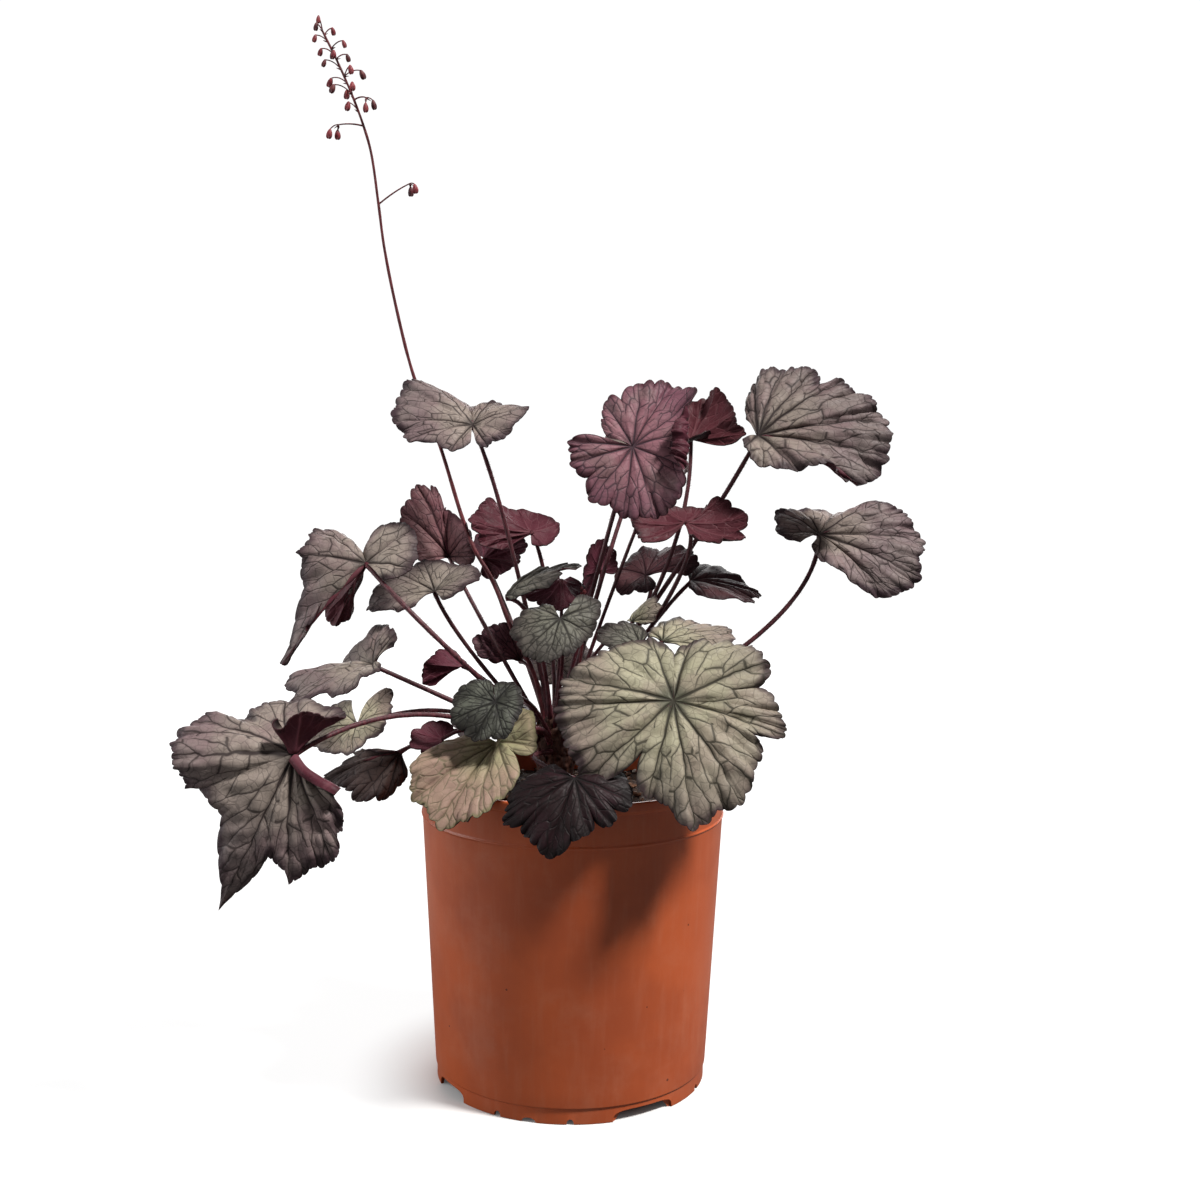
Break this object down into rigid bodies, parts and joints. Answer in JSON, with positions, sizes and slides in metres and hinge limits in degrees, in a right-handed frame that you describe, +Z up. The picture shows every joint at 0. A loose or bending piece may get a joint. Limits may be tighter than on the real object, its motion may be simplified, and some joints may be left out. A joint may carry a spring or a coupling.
{
  "type": "potted coral bells plant",
  "caption": "Coral bells plant with veined, scalloped leaves on thin stalks and a tall slender flower spike, in a round plastic nursery pot.",
  "frame": {"origin": "on the pot's axis, in the plane its foot stands on; the leaves reach about as far to each side of it", "axes": "+Z up along the pot's axis, which is also the longest extent; +X to the right and -Y towards the viewer of the showiest side"},
  "size_m": [0.397, 0.2259, 0.5798],
  "materials": {
    "pot": "satin",
    "soil": "matte",
    "crown": "matte",
    "flower_stalk": "matte",
    "leaf_silver": "matte",
    "leaf_rose": "matte",
    "leaf_green": "matte",
    "leaf_beige": "matte",
    "leaf_dark": "matte"
  },
  "bodies": {
    "root": {"pot": "pot", "soil": "soil", "crown": "crown", "leaf_top_left": "leaf_silver", "leaf_left": "leaf_silver", "leaf_rose": "leaf_rose", "leaf_left_inner": "leaf_silver", "leaf_back_left_high": "leaf_dark", "leaf_back_left_mid": "leaf_dark", "leaf_centre_fold": "leaf_dark", "leaf_centre_dark": "leaf_dark", "leaf_centre": "leaf_green", "leaf_centre_pink": "leaf_dark", "leaf_left_small": "leaf_dark", "leaf_left_fold": "leaf_silver", "leaf_low_left": "leaf_silver", "leaf_low_left_back": "leaf_silver", "leaf_low_left_brown": "leaf_dark", "leaf_low_black": "leaf_dark", "leaf_front_green": "leaf_green", "leaf_front_beige": "leaf_beige", "leaf_front_purple": "leaf_dark", "leaf_front_right": "leaf_silver", "leaf_right_shoulder": "leaf_silver", "leaf_right_small": "leaf_silver", "leaf_right_small_low": "leaf_green", "leaf_top_rose": "leaf_rose", "leaf_top_back": "leaf_dark", "leaf_upper_right": "leaf_silver", "leaf_right": "leaf_silver", "leaf_rose_crinkled": "leaf_dark", "leaf_rose_small": "leaf_dark", "leaf_right_dark": "leaf_dark", "leaf_right_mid": "leaf_dark", "leaf_centre_round": "leaf_dark", "leaf_back_high": "leaf_silver", "leaf_back_low_right": "leaf_silver", "leaf_back_low_left": "leaf_silver", "leaf_back_centre": "leaf_silver", "flower_spike": "flower_stalk", "young_spike": "flower_stalk"}
  },
  "joints": []
}
